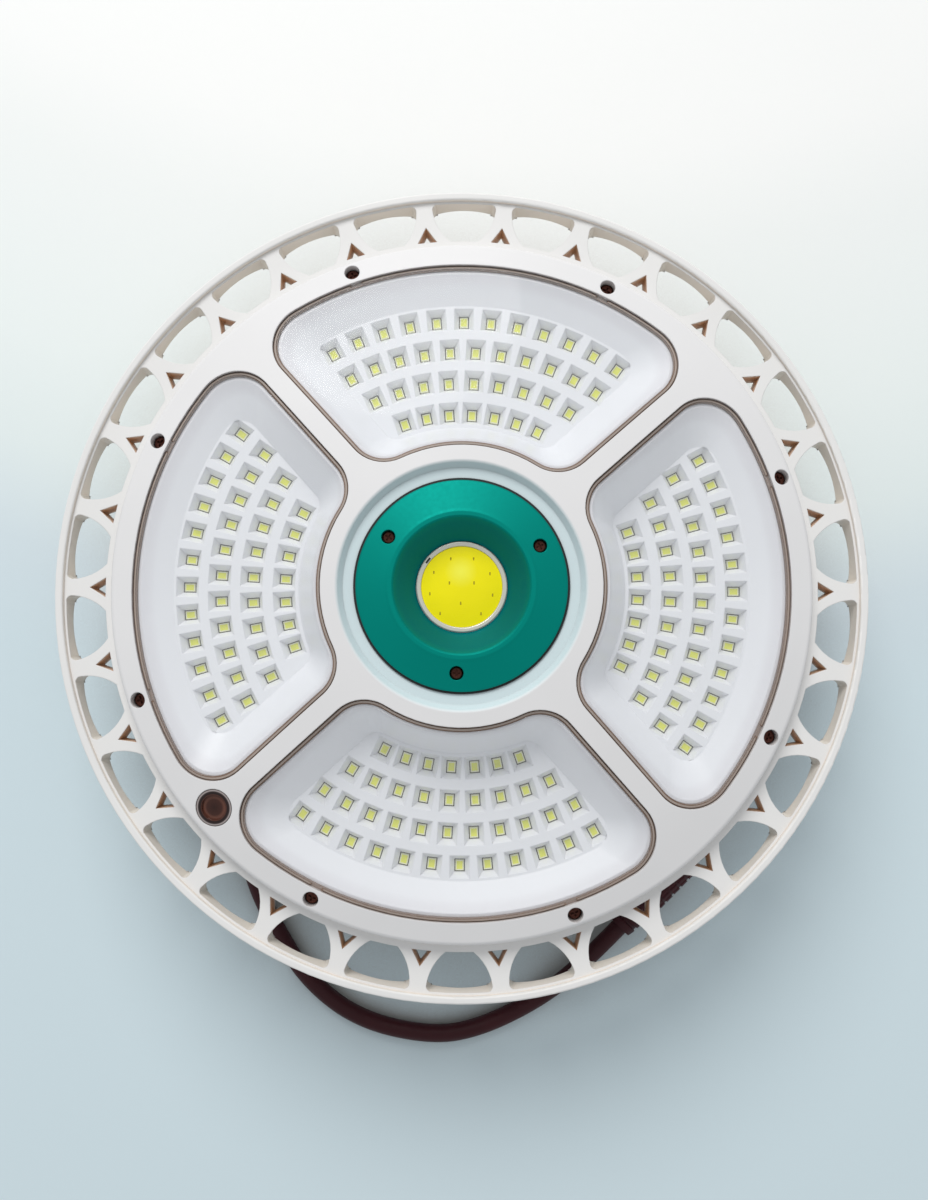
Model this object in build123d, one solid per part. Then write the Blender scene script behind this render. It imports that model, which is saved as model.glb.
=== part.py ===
from build123d import *
import math
import os

os.makedirs("parts", exist_ok=True)

# Dome of the front cover, heights measured from the surface the light lies on
crown_height = 72.3
dome_rise = 15.85
cover_r = 108.6
dome_radius = (cover_r ** 2 + dome_rise ** 2) / (2 * dome_rise)
cover_wall = 2.4
cover_edge_round = 1.8
rim_height = 5.95

# Joint of cover, ring and housing
plate_z = crown_height - dome_rise - rim_height
flange_thickness = 2.4
flange_z = plate_z - flange_thickness
joint_screw_inset = 3.8
joint_screw_r = cover_r - joint_screw_inset
joint_screw_start = 22.5
joint_screw_length = 11.0
joint_hole_r = 1.6
joint_seat = 2.0
joint_seat_z = plate_z + joint_seat
joint_boss_r = 3.7
joint_post_r = 3.8
joint_post_length = 12.1
counterbore_r = 2.4
shank_r = 1.3
pilot_gap = 0.05
pilot_end_gap = 0.7

# Rib ring
housing_step = 0.7
housing_r = cover_r + housing_step
band_gap = 0.3
band_wall = 2.4
band_inner_r = housing_r + band_gap
band_r = band_inner_r + band_wall
rib_span = 12.3
rim_wall = 3.2
rim_lip = 2.4
ring_inner_r = band_r + rib_span
ring_r = ring_inner_r + rim_wall
ring_lip_r = ring_r - rim_lip
ring_front_rise = 1.5
ring_front_z = plate_z + ring_front_rise
ring_depth = 8.1
ring_rear_z = plate_z - ring_depth
flange_reach = 3.3
flange_inner_r = joint_screw_r - flange_reach
rib_count = 30
rib_start = 3.0
rib_corner = 1.8
rib_neck = 2.6
rib_waist = 3.84
rib_foot = 7.49
rib_overlap = 0.3
rib_hole_length = 5.0
rib_hole_base = 6.15
arch_r = 20.5
arch_height = 3.1

# Hub dish and centre cap, measured down from the crown
dish_rim_r = 37.0
dish_slope = 1.6
dish_floor_r = dish_rim_r - dish_slope
dish_depth = 4.4
dish_floor_z = crown_height - dish_depth
dish_thickness = 2.4
dish_under_z = dish_floor_z - dish_thickness
hub_hole_r = 24.0
hub_block = 3.0
hub_block_r = dish_rim_r + hub_block
cap_r = 31.5
cap_drop = 1.3
cap_lip_z = crown_height - cap_drop
cap_seal_height = 0.5
cap_under_z = dish_floor_z + cap_seal_height
cap_cup_r = 20.2
cap_screw_r = 26.0
cap_screw_angles = (30, 150, 270)
cap_screw_sink = 0.9
cap_screw_length = 6.5
cap_screw_seat_z = dish_floor_z - cap_screw_sink
cap_boss_r = 3.3
cap_boss_gap = 0.2
cap_seal_reach = 0.7
cap_seal_width = 2.6
cap_seal_r = cap_r + cap_seal_reach

# Lamp windows, outline about +Y
window_edge = 3.6
window_outer_r = joint_screw_r - window_edge
hub_land = 4.9
window_inner_r = dish_rim_r + hub_land
spoke_half = 3.1
corner_outer = 13.0
corner_inner = 12.0
groove_width = 1.4
lens_thickness = 2.0
lens_seat_gap = 0.15
tray_flange = 1.05
ledge_depth = lens_thickness + lens_seat_gap + tray_flange
ledge_thickness = 1.8
ledge_width = 0.7
seal_top_depth = 1.4
seal_gap = 0.05
seal_bead = 0.5
seal_bead_inset = 0.4
frame_width = 2.0
frame_top_depth = 1.0
clip_angle = 22.5
clip_width = 3.4
clip_bite = 0.6
clip_gap = 0.3
windows = {"top": 0, "left": 90, "bottom": 180, "right": 270}

# Reflector trays and their cells: rise above the tray's inner edge, count and step of each row
land_z = plate_z + 2.5
chip_top_z = plate_z - 0.5
chip_height = 0.8
outer_slope = 11.3
inner_slope = 9.0
side_slope = 11.5
tray_outer_r = window_outer_r - outer_slope
tray_inner_r = window_inner_r + inner_slope
tray_side = spoke_half + side_slope
tray_foot_z = chip_top_z - chip_height
tray_corner_outer = 6.0
tray_corner_inner = 5.0
tray_wall = 1.4
tray_mouth_inset = 0.8
tray_body_inset = 0.8
slope_top_z = crown_height - 1.3
led_rows = ((4.6, 7, 7.45), (14.8, 9, 7.0), (24.8, 11, 6.2), (34.7, 12, 5.8))
cell_top = (6.2, 6.9)
cell_foot = (3.2, 4.0)
chip_size = (2.8, 3.5)

# LED boards and their carrier
board_thickness = 1.2
board_outer_reach = 3.1
board_inner_reach = 3.9
board_side_reach = 3.6
board_corner = 4.0
carrier_thickness = 1.5
carrier_gap = 3.5
carrier_r = flange_inner_r - carrier_gap
carrier_hole_r = 36.0
carrier_z = tray_foot_z - board_thickness
carrier_foot_z = carrier_z - carrier_thickness
post_circle_r = 72.0
post_r = 2.9
post_hole_depth = 8.0

# Round lamp in the cup
cob_board_r = 14.5
cob_depth = 5.3
cob_board_z = dish_under_z - cob_depth
cob_board_thickness = 1.6
cob_top_z = cob_board_z + cob_board_thickness
cob_ring_r = 13.7
cob_ring_width = 1.4
cob_ring_inner_r = cob_ring_r - cob_ring_width
cob_ring_height = 1.2
cob_ring_gap = 0.2
cup_foot_r = cob_ring_r + cob_ring_gap
phosphor_height = 1.8
phosphor_crown = 1.0
sink_plate_r = 30.0
sink_plate = 2.5
sink_plate_z = dish_under_z - sink_plate
well_gap = 1.9
well_r = cob_board_r + well_gap
well_wall = 2.8
well_wall_r = well_r + well_wall
sink_floor = 2.7
sink_floor_z = cob_board_z - sink_floor
fin_height = 6.5
fin_pitch = 5.0
fin_thickness = 1.4

# Sensor
sensor_inset = 4.4
sensor_circle_r = joint_screw_r - sensor_inset
sensor_angle = 225
sensor_r = 5.6
sensor_gap = 0.15
sensor_rim = 1.7
sensor_inner_r = sensor_r - sensor_rim
sensor_boss_wall = 1.7
sensor_boss_r = sensor_r + sensor_boss_wall
sensor_seat_z = plate_z + 4.5
sensor_boss_z = sensor_seat_z - 2.0
sensor_board_width = 9.0
sensor_can_r = 4.0

# Rear housing
wall = 2.4
drum_r = 70.0
drum_top_z = 20.0
cone_drop = 2.4
cone_top_z = ring_rear_z - cone_drop

pad_rise = 2.0
pad_r = drum_r + pad_rise
pad_wall = 2.8
pad_inner_r = pad_r - pad_wall
pad_root = 6.0
pad_width = 22.0
pad_pocket_half = 9.6
pad_pocket_rise = 8.2
side_z = 11.0
gland_angle = 228
button_angle = 300

# Seals at the rib ring
seal_inset = 0.7
cover_seal_r = cover_r - seal_inset
housing_seal_r = housing_r - seal_inset
seal_width = 1.0
seal_height = 0.8
seal_side_gap = 0.05

# Bail and its pocket
wire_r = 2.0
bail_half = 28.0
bail_pin_end = 35.0
bail_pivot_z = 4.0
bail_bend = 3.0
bail_arc_y = -12.0
bore_gap = 0.06
pocket_side = 3.5
pocket_half = bail_half + pocket_side
pocket_top_y = 4.5
pocket_depth = 7.0
pocket_wall = 2.0
pocket_top_z = pocket_depth + pocket_wall
ear_width = 10.0
ear_end = 3.0
notch_r = 9.0
notch_y = -44.0

# Battery pack and control board
cell_r = 9.2
cell_length = 65.0
cell_gap = 0.6
cell_pitch = 2 * cell_r + cell_gap
cell_end_gap = 0.5
cell_side_gap = 0.7
cradle_thickness = 1.5
cradle_rib = 3.0
cradle_side = 1.6
cradle_end = 3.5
deck_z = pocket_top_z + cradle_thickness
cell_axis_z = deck_z + cell_r
strap_z = cell_axis_z + cell_r
strap_thickness = 1.0
cradle_wall_y = cell_length / 2 + cell_end_gap + cradle_rib / 2
cradle_half_y = cradle_wall_y + cradle_rib / 2 + cradle_end
post_inner_x = 1.5 * cell_pitch + cell_r + cell_side_gap
cradle_half_x = post_inner_x + cradle_side
post_width = 6.2
strap_half = post_inner_x + post_width
strap_screw_x = strap_half - 3.0
cradle_boss_x = cradle_half_x + 10.0
pillar_x = 30.0
pillar_y = cradle_wall_y + 2.0
pillar_r = 3.0
board_lift = 3.1
control_z = strap_z + board_lift
control_size = (84.0, 82.0)
pcb = 1.6
board_top_z = control_z + pcb
terminal_height = 7.0
head_room = 1.9

# Lead and gland, places of the gland measured outward from the face of the pad
cord_r = 3.0
cord_gap = 0.05
gland_exit = 12.8
jacket_end = -9.0
gland_seal_height = 0.8
gland_flange = 3.0
gland_thread_end = -6.6
gland_stem_end = 9.5
gland_stem_r = 5.2
gland_hex = 16.0
gland_thread_r = 5.9
gland_thread_gap = 0.1
gland_seal_r = 8.6
gland_nut_r = 7.5
locknut_height = 2.8

# Plug, places measured along its own axis from the end of the lead
plug_at = (62.17, -112.36, 5.85)
plug_heading = 48.35
plug_boot_length = 14.0
boot_r = 5.2
neck_r = 3.6
neck_end = 17.2
collar_end = 18.8
collar_r = 4.4
nose_r = 3.4
nose_end = 22.0
barrel_r = 2.75
barrel_root_r = 2.5
barrel_bore_r = 1.05
barrel_end = 33.0
nut_r = 5.8
nut_start = 14.4
nut_end = 31.4
nut_shoulder_end = 16.9
nut_bore_r = 4.7
neck_gap = 0.08
cord_points = (
    (-56.74, -63.02, side_z),
    (-66.17, -73.50, side_z),
    (-71.5, -88.3, 6.5),
    (-68.6, -103.7, cord_r),
    (-59.6, -120.2, cord_r),
    (-47.0, -138.0, cord_r),
    (-27.7, -150.9, cord_r),
    (-1.95, -155.0, cord_r),
    (14.9, -151.3, cord_r),
    (35.0, -140.3, cord_r),
    (49.5, -126.6, plug_at[2]),
    plug_at,
)

# Button, places measured outward from the face of the pad
button_r = 4.0
button_gap = 0.08
button_proud = 1.8
button_travel = 1.2
button_flange_r = 5.2
button_flange = 1.2
button_stem_end = -5.5
switch_gap = 0.1
switch_size = 6.0
switch_depth = 3.5
switch_nose_r = 1.75
switch_board_at = -11.5
switch_board_thickness = 1.2
switch_board_half = (6.0, 8.0)


def dome_z(r, depth=0.0):
    """Height of the surface that lies depth under the dome, at radius r."""
    return crown_height - dome_radius + math.sqrt((dome_radius - depth) ** 2 - r ** 2)


def disc(r, z0, z1, x=0.0, y=0.0):
    """Upright cylinder from z0 to z1."""
    return Pos(x, y, (z0 + z1) / 2) * Cylinder(r, z1 - z0)


def block(x0, x1, y0, y1, z0, z1):
    """Box between the given limits."""
    return Pos((x0 + x1) / 2, (y0 + y1) / 2, (z0 + z1) / 2) * Box(x1 - x0, y1 - y0, z1 - z0)


def ring(r_out, r_in, z0, z1):
    """Upright ring from z0 to z1."""
    return disc(r_out, z0, z1) - disc(r_in, z0, z1)


def at_polar(r, angle):
    """Place on a circle, with local X pointing outward."""
    return Rot(0, 0, angle) * Pos(r, 0, 0)


def turned(*points):
    """Solid turned about Z from a closed outline of radius and height."""
    return revolve(Plane.XZ * make_face(Polyline(*points, close=True)), axis=Axis.Z)


def dome_arc(r0, r1, depth=0.0):
    """Arc of the dome, or of a surface parallel to it, in radius and height."""
    rm = (r0 + r1) / 2
    return ThreePointArc((r0, dome_z(r0, depth)), (rm, dome_z(rm, depth)), (r1, dome_z(r1, depth)))


def dome_slab(depth0, depth1, r0=dish_rim_r, r1=cover_r - 1.6):
    """Band of material between two depths under the dome."""
    top = dome_arc(r0, r1, depth0)
    under = dome_arc(r0, r1, depth1)
    sides = [Line(top @ 0, under @ 0), Line(top @ 1, under @ 1)]
    return revolve(Plane.XZ * make_face([top, under, *sides]), axis=Axis.Z)


def under_dome(depth, z0=plate_z - 10.5, r1=cover_r - 1.6):
    """Everything between z0 and a depth under the dome."""
    top = dome_arc(0.5, r1, depth)
    sides = Polyline(top @ 0, (0.5, z0), (r1, z0), top @ 1)
    return revolve(Plane.XZ * make_face([top, sides]), axis=Axis.Z) + disc(0.6, z0, dome_z(0.5, depth))


def fan_corners(r_out, r_in, half, c_out, c_in):
    """Centres of the right hand corner arcs of a fan outline about +Y."""
    s = math.sqrt(0.5)
    h_out = half + c_out
    t_out = math.sqrt((r_out - c_out) ** 2 - h_out ** 2)
    h_in = half + c_in
    t_in = math.sqrt((r_in + c_in) ** 2 - h_in ** 2)
    return Vector((t_out - h_out) * s, (t_out + h_out) * s), Vector((t_in - h_in) * s, (t_in + h_in) * s)


def arc_points(centre, r, a0, a1, count):
    """Points on an arc, angles in radians."""
    steps = [a0 + (a1 - a0) * i / (count - 1) for i in range(count)]
    return [Vector(centre.X + r * math.cos(a), centre.Y + r * math.sin(a)) for a in steps]


def fan_edges(r_out, r_in, half, c_out, c_in, count=9):
    """Outline of a fan about +Y as eight runs of points, clockwise from the outer left corner."""
    out_c, in_c = fan_corners(r_out, r_in, half, c_out, c_in)
    a_out = math.atan2(out_c.Y, out_c.X)
    a_in = math.atan2(in_c.Y, in_c.X)
    side = -math.pi / 4
    outer = arc_points(Vector(0, 0), r_out, math.pi - a_out, a_out, count)
    corner_a = arc_points(out_c, c_out, a_out, side, count)
    corner_b = arc_points(in_c, c_in, side, a_in - math.pi, count)
    a = corner_a[-1]
    b = corner_b[0]
    flank = [a + (b - a) * (i / (count - 1)) for i in range(count)]
    inner = arc_points(Vector(0, 0), r_in, a_in, math.pi - a_in, count)
    right = [corner_a, flank, corner_b]
    left = [[Vector(-p.X, p.Y) for p in reversed(run)] for run in reversed(right)]
    return [outer, *right, inner, *left]


def fan_face(r_out, r_in, half, c_out, c_in):
    """Flat fan face about +Y."""
    edges = []
    for k, run in enumerate(fan_edges(r_out, r_in, half, c_out, c_in)):
        straight = k in (2, 6)
        if straight:
            edges.append(Edge.make_line(run[0], run[-1]))
        else:
            edges.append(Edge.make_three_point_arc(run[0], run[len(run) // 2], run[-1]))
    return Face(Wire(edges))


def window_spec(inset):
    """Numbers of the window outline, moved inward by inset."""
    return (window_outer_r - inset, window_inner_r + inset, spoke_half + inset,
            corner_outer - inset, corner_inner - inset)


def window_prism(inset, z0=plate_z - 2.5, z1=crown_height + 1.7):
    """Upright prism on the window outline."""
    return Pos(0, 0, z0) * extrude(fan_face(*window_spec(inset)), z1 - z0, dir=(0, 0, 1))


def sloped_fan(foot, foot_z, head_inset, depth):
    """Solid with a flat fan foot whose walls lean out to a window outline on a dome surface."""
    foot_runs = fan_edges(*foot)
    head_runs = fan_edges(*window_spec(head_inset))
    faces = []
    foot_edges = []
    head_edges = []
    for k, (low, high) in enumerate(zip(foot_runs, head_runs)):
        far = []
        for p, q in zip(low, high):
            rise = (slope_top_z - foot_z) / (dome_z(math.hypot(q.X, q.Y), depth) - foot_z)
            far.append(Vector(p.X + (q.X - p.X) * rise, p.Y + (q.Y - p.Y) * rise, slope_top_z))
        lifted = [Vector(p.X, p.Y, foot_z) for p in low]
        steps = [i / (len(far) - 1) for i in range(len(far))]
        foot_edges.append(Edge.make_spline(lifted, parameters=steps))
        head_edges.append(Edge.make_spline(far, parameters=steps))
        faces.append(Face.make_surface_from_curves(foot_edges[-1], head_edges[-1]))
    faces.append(Face(Wire(foot_edges)))
    faces.append(Face(Wire(head_edges)))
    return Solid(Shell(faces))


def foot_spec(outset):
    """Numbers of the tray floor outline, moved outward by outset."""
    return (tray_outer_r + outset, tray_inner_r - outset, tray_side - outset,
            tray_corner_outer + outset, tray_corner_inner + outset)


def circle_at(solid, r, z):
    """Round edges of a solid with the given radius and height."""
    circles = solid.edges().filter_by(GeomType.CIRCLE)
    return [e for e in circles if abs(e.radius - r) < 0.01 and abs(e.center().Z - z) < 0.01]


def hexagon(across, z0, z1):
    """Upright hexagonal prism."""
    outline = Rot(0, 0, 30) * RegularPolygon(across / 2, 6, major_radius=False)
    return Pos(0, 0, z0) * extrude(outline, z1 - z0)


def pan_screw(head_r, head_height, shank, length):
    """Cross recess screw, seat of the head at z 0."""
    head = disc(head_r, 0, head_height)
    head = fillet(head.edges().group_by(Axis.Z)[-1], head_height * 0.35)
    slot = Box(head_r * 1.15, head_r * 0.28, head_height)
    cross = Pos(0, 0, head_height) * (slot + Rot(0, 0, 90) * slot)
    return head - cross + disc(shank, -length, 0)


def tube(points, r, bend):
    """Round wire along straight runs joined by bends."""
    path = FilletPolyline(*points, radius=bend)
    start = Plane(origin=path @ 0, z_dir=path % 0)
    return sweep(start * Circle(r), path=path)


def save(name, *shapes):
    """Write one node, one or more separate solids."""
    solids = [s for shape in shapes for s in shape.solids()]
    export_step(solids[0] if len(solids) == 1 else Compound(solids), f"parts/{name}.step")


joint_angles = [joint_screw_start + 45 * k for k in range(8)]
spoke_angles = [45 + 90 * k for k in range(4)]
pilot_r = shank_r + pilot_gap

# Front cover
cover_inner_r = cover_r - cover_wall
outer_arc = dome_arc(dish_rim_r, cover_r)
inner_arc = dome_arc(hub_block_r, cover_inner_r, cover_wall)
cover_face = make_face([
    outer_arc,
    Polyline(outer_arc @ 1, (cover_r, plate_z), (cover_inner_r, plate_z), inner_arc @ 1),
    inner_arc,
    Polyline(inner_arc @ 0, (hub_block_r, dish_under_z), (hub_hole_r, dish_under_z),
             (hub_hole_r, dish_floor_z), (dish_floor_r, dish_floor_z), outer_arc @ 0),
])
cover = revolve(Plane.XZ * cover_face, axis=Axis.Z)
rim_edges = [e for e in cover.edges() if e.geom_type == GeomType.CIRCLE]
top_edge = [e for e in rim_edges if abs(e.radius - cover_r) < 0.01 and e.center().Z > plate_z + 1]
cover = fillet(top_edge, cover_edge_round)
dish_edge = [e for e in cover.edges().filter_by(GeomType.CIRCLE) if abs(e.radius - dish_rim_r) < 0.01]
cover = fillet(dish_edge, 0.8)
frame_prism = window_prism(-frame_width)
frame_slab = dome_slab(frame_top_depth, ledge_depth + ledge_thickness)
frame = frame_prism & frame_slab
for angle in windows.values():
    cover += Rot(0, 0, angle) * frame
envelope = under_dome(0.5, plate_z)
bosses = [at_polar(joint_screw_r, a) * disc(joint_boss_r, plate_z, crown_height) for a in joint_angles]
bosses.append(at_polar(sensor_circle_r, sensor_angle) * disc(sensor_boss_r, sensor_boss_z, crown_height))
for boss in bosses:
    cover += boss & envelope
for angle in spoke_angles:
    cover += at_polar(post_circle_r, angle) * disc(post_r, carrier_z, dome_z(post_circle_r, 1.0) - 0.5)
window_cut = window_prism(0) & dome_slab(-3.0, ledge_depth, dish_rim_r - 1, cover_r - 0.6)
window_cut += window_prism(groove_width + ledge_width)
for angle in windows.values():
    cover -= Rot(0, 0, angle) * window_cut
for angle in joint_angles:
    cover -= at_polar(joint_screw_r, angle) * disc(counterbore_r, joint_seat_z, crown_height)
    cover -= at_polar(joint_screw_r, angle) * disc(joint_hole_r, plate_z - 1, joint_seat_z + 1)
for angle in spoke_angles:
    cover -= at_polar(post_circle_r, angle) * disc(1.2, carrier_z - 1, carrier_z + post_hole_depth)
cap_boss_hole = disc(cap_boss_r + cap_boss_gap, dish_under_z - 1, dish_floor_z + 1)
for angle in cap_screw_angles:
    cover -= at_polar(cap_screw_r, angle) * cap_boss_hole
cover -= at_polar(sensor_circle_r, sensor_angle) * disc(sensor_r + sensor_gap, sensor_seat_z, crown_height)
cover -= at_polar(sensor_circle_r, sensor_angle) * disc(sensor_r - 1, sensor_boss_z - 1, sensor_seat_z + 1)
cover -= ring(cover_seal_r, cover_seal_r - seal_width, plate_z, plate_z + seal_height)
save("front_cover", cover)

# Rib ring, one moulding with the flange between cover and housing
rim = turned((ring_inner_r, ring_rear_z), (ring_r, ring_rear_z), (ring_r, ring_front_z),
             (ring_lip_r, ring_front_z), (ring_lip_r, plate_z), (ring_inner_r, plate_z))
rim = fillet([e for e in rim.edges() if abs(e.center().Z - ring_front_z) < 0.01], 0.6)
band = turned((flange_inner_r, flange_z), (band_inner_r, flange_z), (band_inner_r, ring_rear_z),
              (band_r, ring_rear_z), (band_r, plate_z), (flange_inner_r, plate_z))
rib_foot_at = (band_r - rib_overlap, rib_foot)
rib_waist_at = (band_r + rib_hole_length, rib_waist)
rib_neck_at = (ring_inner_r - rib_corner, rib_neck)
corner_y = rib_neck + rib_corner
quarter = rib_corner * math.sqrt(0.5)
corner_mid = (rib_neck_at[0] + quarter, corner_y - quarter)
corner_end = (ring_inner_r, corner_y)
rib_root_x = band_r - 1.0
rib_head_x = ring_inner_r + 0.7
half_rib = [
    Polyline((rib_root_x, 0), (rib_root_x, rib_foot), rib_foot_at),
    ThreePointArc(rib_foot_at, rib_waist_at, rib_neck_at),
    ThreePointArc(rib_neck_at, corner_mid, corner_end),
    Polyline(corner_end, (rib_head_x, corner_y), (rib_head_x, 0), (rib_root_x, 0)),
]
half_face = make_face(half_rib)
rib_face = half_face + mirror(half_face, about=Plane.XZ)
hole_half = rib_hole_base / 2
rib_face -= make_face(Polyline((band_r + rib_hole_length, 0), (band_r, hole_half), (band_r, -hole_half),
                               close=True))
rib = Pos(0, 0, ring_rear_z) * extrude(rib_face, plate_z - ring_rear_z)
ribs = [Rot(0, 0, rib_start + 360 / rib_count * k) * rib for k in range(rib_count)]
rib_ring = rim.fuse(band, *ribs)
arch = Rot(0, 90, 0) * Cylinder(arch_r, rim_wall + 4.8)
half_pitch = 180 / rib_count
arch_place = (ring_inner_r + rim_wall + 0.5, ring_rear_z + arch_height - arch_r)
arches = [at_polar(arch_place[0], rib_start + half_pitch + 360 / rib_count * k)
          * Pos(0, 0, arch_place[1]) * arch for k in range(rib_count)]
holes = [at_polar(joint_screw_r, a) * disc(joint_hole_r, flange_z - 1, plate_z + 1) for a in joint_angles]
rib_ring = rib_ring.cut(*arches, *holes)
save("rib_ring", rib_ring)

# Lenses with the clips that bridge the groove, and the sealing strips round them
lens = window_prism(groove_width) & dome_slab(0.0, lens_thickness)
clip_prism = block(-clip_width / 2, clip_width / 2, window_outer_r - groove_width - clip_bite,
                   window_outer_r - seal_gap, plate_z, crown_height)
clip = clip_prism & dome_slab(0.4, 1.3)
lens = lens + Rot(0, 0, clip_angle) * clip + Rot(0, 0, -clip_angle) * clip
strip = window_prism(seal_gap) - window_prism(groove_width - seal_gap)
strip = strip & dome_slab(seal_top_depth, ledge_depth)
bead = window_prism(seal_bead_inset) - window_prism(groove_width - seal_bead_inset)
bead = bead & dome_slab(seal_top_depth - seal_bead, seal_top_depth + 0.4)
clip_room = block(-clip_width / 2 - clip_gap, clip_width / 2 + clip_gap,
                  window_outer_r - 2 * groove_width, window_outer_r + 1, plate_z, crown_height)
strip += bead - Rot(0, 0, clip_angle) * clip_room - Rot(0, 0, -clip_angle) * clip_room

# Reflector tray, one moulding with its flange and 39 cells
last_row = tray_outer_r - tray_inner_r - cell_top[1] / 2
led_places = [Rot(0, 0, (i - (n - 1) / 2) * step) * Pos(0, tray_inner_r + rise, 0)
              for rise, n, step in led_rows if rise < last_row for i in range(n)]
body_inset = groove_width + tray_body_inset
mouth_inset = groove_width + tray_mouth_inset
tray = sloped_fan(foot_spec(tray_wall), tray_foot_z, body_inset, ledge_depth) & under_dome(ledge_depth)
tray += window_prism(groove_width) & dome_slab(lens_thickness + lens_seat_gap, ledge_depth)
tray -= sloped_fan(foot_spec(0), land_z, mouth_inset, lens_thickness)
cell = loft([Pos(0, 0, chip_top_z) * Rectangle(*cell_foot), Pos(0, 0, land_z) * Rectangle(*cell_top)])
foot_slot = block(-cell_foot[0] / 2, cell_foot[0] / 2, -cell_foot[1] / 2, cell_foot[1] / 2,
                  tray_foot_z - 1, chip_top_z)
cell = cell + foot_slot
tray = tray.cut(*[place * cell for place in led_places])

# LED boards and packages
board_face = fan_face(tray_outer_r + board_outer_reach, tray_inner_r - board_inner_reach,
                      tray_side - board_side_reach, board_corner, board_corner)
led_board = Pos(0, 0, carrier_z) * extrude(board_face, board_thickness, dir=(0, 0, 1))
chip = block(-chip_size[0] / 2, chip_size[0] / 2, -chip_size[1] / 2, chip_size[1] / 2,
             tray_foot_z, chip_top_z)
chips = [place * chip for place in led_places]

for name, angle in windows.items():
    turn = Rot(0, 0, angle)
    save(f"lens_{name}", turn * lens)
    save(f"lens_seal_{name}", turn * strip)
    save(f"reflector_tray_{name}", turn * tray)
    save(f"led_board_{name}", turn * led_board)
save("led_chips", *[Rot(0, 0, angle) * c for angle in windows.values() for c in chips])

# Carrier plate and its screws
carrier = ring(carrier_r, carrier_hole_r, carrier_foot_z, carrier_z)
carrier_screw = Rot(180, 0, 0) * pan_screw(2.3, 1.6, 1.15, 8.0)
carrier_screws = []
for angle in spoke_angles:
    carrier -= at_polar(post_circle_r, angle) * disc(1.5, carrier_foot_z - 1, carrier_z + 1)
    carrier_screws.append(at_polar(post_circle_r, angle) * Pos(0, 0, carrier_foot_z) * carrier_screw)
save("board_carrier", carrier)
save("carrier_screws", *carrier_screws)

# Centre cap
cup_rim_z = cap_lip_z - 0.4
cup_foot_z = cob_top_z + 0.8
cup_lean = (cap_cup_r - cup_foot_r) / (cup_rim_z - cup_foot_z)
foot_outer_r = cob_board_r + 1.0
foot_outer_z = cob_top_z + 0.2
cap = turned((cap_r, cap_under_z), (cap_r, cap_under_z + 0.5), (cap_r - 0.4, cap_under_z + 0.75),
             (cap_cup_r + 2.5, cap_lip_z - 0.2), (cap_cup_r + 1.7, cap_lip_z), (cap_cup_r + 0.5, cap_lip_z),
             (cap_cup_r, cup_rim_z), (cup_foot_r, cup_foot_z), (cup_foot_r, cob_top_z),
             (foot_outer_r, cob_top_z), (foot_outer_r, foot_outer_z),
             (foot_outer_r + cup_lean * (cap_under_z - foot_outer_z), cap_under_z))
for angle in cap_screw_angles:
    place = at_polar(cap_screw_r, angle)
    cap += place * disc(cap_boss_r, dish_under_z, cap_under_z + 0.4)
    cap -= place * disc(2.1, cap_screw_seat_z, crown_height)
    cap -= place * disc(1.45, dish_under_z - 1, cap_screw_seat_z + 1)
save("centre_cap", cap)
save("cap_seal", ring(cap_seal_r, cap_seal_r - cap_seal_width, dish_floor_z, cap_under_z))
cap_screw = Pos(0, 0, cap_screw_seat_z) * pan_screw(1.9, 1.5, 1.25, cap_screw_length)
save("cap_screws", *[at_polar(cap_screw_r, a) * cap_screw for a in cap_screw_angles])

# Round lamp and its heat sink
sink = turned((0, sink_floor_z), (well_wall_r, sink_floor_z), (well_wall_r, sink_plate_z),
              (sink_plate_r, sink_plate_z), (sink_plate_r, dish_under_z), (well_r + 2.7, dish_under_z),
              (well_r, cob_board_z + 2.0), (well_r, cob_board_z), (0, cob_board_z))
for k in range(-3, 4):
    fin_x = fin_pitch * k
    chord = math.sqrt((well_wall_r - 0.2) ** 2 - fin_x ** 2)
    sink += block(fin_x - fin_thickness / 2, fin_x + fin_thickness / 2, -chord, chord,
                  sink_floor_z - fin_height, sink_floor_z)
cap_screw_end_z = cap_screw_seat_z - cap_screw_length
for angle in cap_screw_angles:
    place = at_polar(cap_screw_r, angle)
    sink += place * disc(3.4, cap_screw_end_z - 1.5, sink_plate_z)
    sink -= place * disc(1.3, cap_screw_end_z - 0.5, dish_under_z + 1)
for x in (-2.5, 2.5):
    sink -= disc(1.0, sink_floor_z - 1, cob_board_z + 1, x, 3.0)
save("cob_heat_sink", sink)
save("cob_board", disc(cob_board_r, cob_board_z, cob_top_z))
cob_ring = ring(cob_ring_r, cob_ring_inner_r, cob_top_z, cob_top_z + cob_ring_height)
cob_ring = fillet(cob_ring.edges().group_by(Axis.Z)[-1], 0.3)
save("cob_ring", cob_ring)
phosphor_r = cob_ring_inner_r - 0.05
phosphor_z = cob_top_z + phosphor_height
phosphor_dome_r = (phosphor_r ** 2 + phosphor_crown ** 2) / (2 * phosphor_crown)
phosphor_dome = Pos(0, 0, phosphor_z - phosphor_dome_r) * Sphere(phosphor_dome_r)
save("cob_phosphor", disc(phosphor_r, cob_top_z, phosphor_z + 1) & phosphor_dome)

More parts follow.
